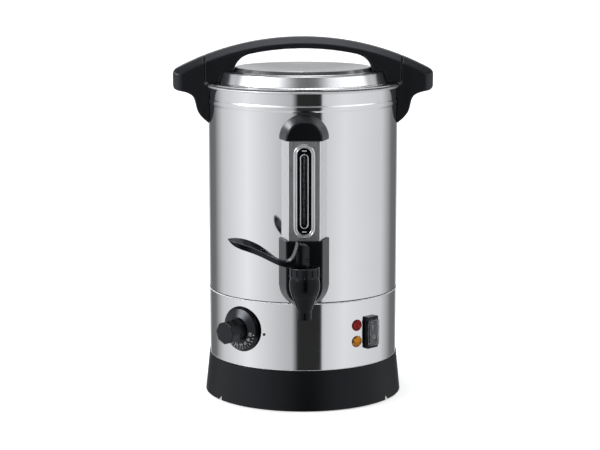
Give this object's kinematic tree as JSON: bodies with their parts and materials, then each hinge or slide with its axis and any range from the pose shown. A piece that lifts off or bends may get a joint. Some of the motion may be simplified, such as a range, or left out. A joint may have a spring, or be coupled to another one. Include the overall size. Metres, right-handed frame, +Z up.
{
  "type": "mulled wine boiler",
  "caption": "Stainless hot drink urn with a black base, an arched lid handle, a front sight gauge, a lever tap, a thermostat dial, lamps and a rocker switch.",
  "frame": {"origin": "pot axis at the surface that the foot ring stands on", "axes": "+Z up along the pot's axis, -Y out of the front where the tap and gauge are, +X to the right of someone facing the tap"},
  "size_m": [0.3, 0.2997, 0.4155],
  "materials": {
    "polished_steel": "bright polished stainless sheet",
    "chrome_trim": "bright plated",
    "black_plastic": "satin moulded",
    "gloss_black": "gloss moulded",
    "soft_black": "matt moulded",
    "silicone_grey": "matt moulded",
    "zinc_steel": "plain zinc plated",
    "heater_aluminium": "cast",
    "element_steel": "heat dulled",
    "copper_brass": "plain turned",
    "cream_plastic": "plain moulded",
    "wire_sleeve": "plain sleeve",
    "clear_glass": "clear drawn tube",
    "clear_cover": "clear soft moulding",
    "red_lens": "clear coloured",
    "amber_lens": "clear coloured",
    "rocker_black": "gloss moulded"
  },
  "bodies": {
    "boiler": {"amber_lamp_lens": "amber_lens", "base_skirt": "black_plastic", "bottom_plate": "black_plastic", "bottom_screws": "zinc_steel", "cord_gland": "black_plastic", "cord_gland_nut": "black_plastic", "dial_index": "gloss_black", "foot_ring": "soft_black", "gauge_bezel": "chrome_trim", "gauge_cap": "black_plastic", "gauge_cover": "polished_steel", "gauge_panel": "gloss_black", "gauge_slot_trim": "chrome_trim", "heat_shield": "zinc_steel", "heater_plate": "heater_aluminium", "heating_element": "element_steel", "lamp_bodies": "cream_plastic", "left_side_handle": "black_plastic", "lower_band": "polished_steel", "outlet_block": "black_plastic", "outlet_nut": "chrome_trim", "outlet_washers": "silicone_grey", "pot": "polished_steel", "red_lamp_lens": "red_lens", "right_side_handle": "black_plastic", "side_handle_screws": "zinc_steel", "sight_tube": "clear_glass", "switch_bezel": "gloss_black", "switch_body": "gloss_black", "switch_splash_cover": "clear_cover", "tap_body": "black_plastic", "tap_bonnet": "black_plastic", "tap_housing": "black_plastic", "tap_locknut": "black_plastic", "tap_spring": "zinc_steel", "terminal_block": "cream_plastic", "thermal_cutout": "cream_plastic", "thermostat_body": "cream_plastic", "thermostat_bulb": "copper_brass", "thermostat_screws": "zinc_steel", "tie_rod": "zinc_steel", "tie_rod_nut": "zinc_steel", "tube_bottom_seal": "silicone_grey", "tube_top_seal": "silicone_grey", "wiring": "wire_sleeve"},
    "lid_seal": {"lid_gasket": "soft_black"},
    "lid": {"lid": "polished_steel", "lid_handle": "black_plastic", "lid_handle_screws": "zinc_steel"},
    "tap_swivel": {"tap_swivel_ring": "black_plastic"},
    "tap_stem": {"tap_stem": "zinc_steel", "tap_seat_cup": "silicone_grey", "lever_pin": "zinc_steel"},
    "tap_lever": {"tap_lever": "black_plastic"},
    "thermostat_dial": {"thermostat_knob": "gloss_black", "thermostat_shaft": "zinc_steel"},
    "switch_rocker": {"switch_rocker": "rocker_black"}
  },
  "joints": [
    {"name": "lid_lift", "type": "slide", "parent": "boiler", "child": "lid_seal", "axis": [0, 0, 1], "range_m": [0, 0.15]},
    {"name": "lid_turn", "type": "hinge", "parent": "lid_seal", "child": "lid", "pos_m": [0, 0, 0.3625], "axis": [0, 0, 1], "range_deg": [0, 40]},
    {"name": "tap_turn", "type": "hinge", "parent": "boiler", "child": "tap_swivel", "pos_m": [0, -0.159, 0.1755], "axis": [0, 0, 1], "range_deg": [-10, 169]},
    {"name": "stem_lift", "type": "slide", "parent": "tap_swivel", "child": "tap_stem", "axis": [0, 0, 1], "range_m": [0, 0.0037], "stiffness_N_per_m": 300, "springref_m": -0.005, "deforming": ["tap_spring"]},
    {"name": "lever_tilt", "type": "hinge", "parent": "tap_stem", "child": "tap_lever", "pos_m": [0, -0.159, 0.184], "axis": [0.1822, -0.9833, 0], "range_deg": [0, 15]},
    {"name": "thermostat_turn", "type": "hinge", "parent": "boiler", "child": "thermostat_dial", "pos_m": [-0.07085, -0.08414, 0.0896], "axis": [-0.6441, -0.7649, 0], "range_deg": [0, 250]},
    {"name": "rocker_flip", "type": "hinge", "parent": "boiler", "child": "switch_rocker", "pos_m": [0.07686, -0.08043, 0.085], "axis": [0.723, 0.6909, 0], "range_deg": [0, 16]}
  ],
  "couplings": [
    {"joint": "lever_tilt", "follows": "stem_lift", "rad_per_m": 64.516}
  ]
}
